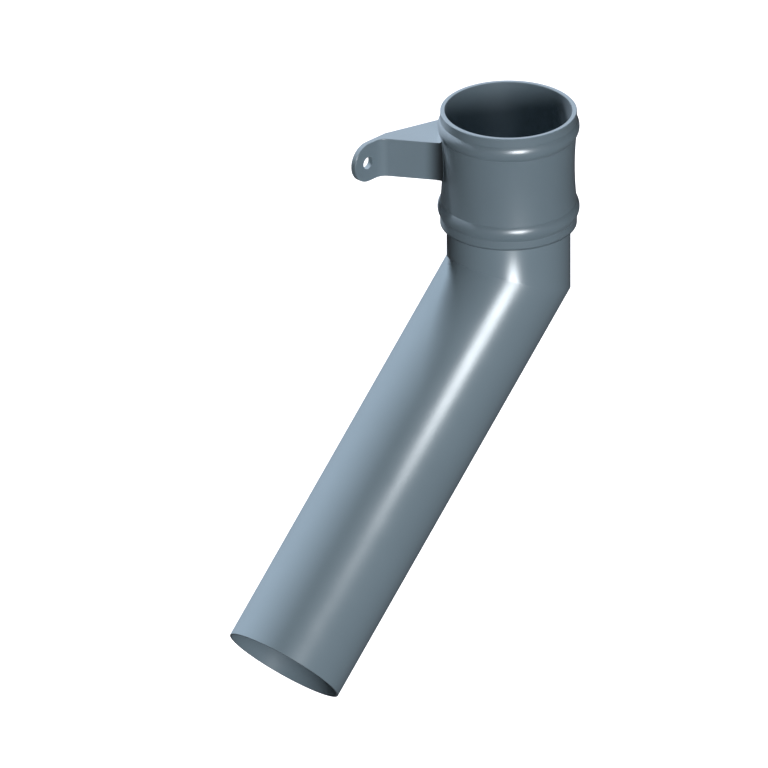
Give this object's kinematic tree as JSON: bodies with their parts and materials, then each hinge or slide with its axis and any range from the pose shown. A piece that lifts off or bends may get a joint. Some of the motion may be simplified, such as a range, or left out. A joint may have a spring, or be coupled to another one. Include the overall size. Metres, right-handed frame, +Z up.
{
  "type": "downpipe elbow",
  "caption": "Rainwater downpipe elbow: a waisted, beaded socket collar with a drilled wall ear, over a mitred bend and a long plain tail.",
  "frame": {"origin": "centre of the socket's mouth, at the top of the collar", "axes": "+Z up along the axis of the socket, the tail falls away towards -X, the wall is on the +Y side"},
  "size_m": [0.2694, 0.1026, 0.3353],
  "materials": {
    "coating": "smooth satin powder coat in blue grey, inside and out"
  },
  "bodies": {
    "root": {"eared_collar": "coating", "upper_leg": "coating", "long_tail": "coating"}
  },
  "joints": []
}
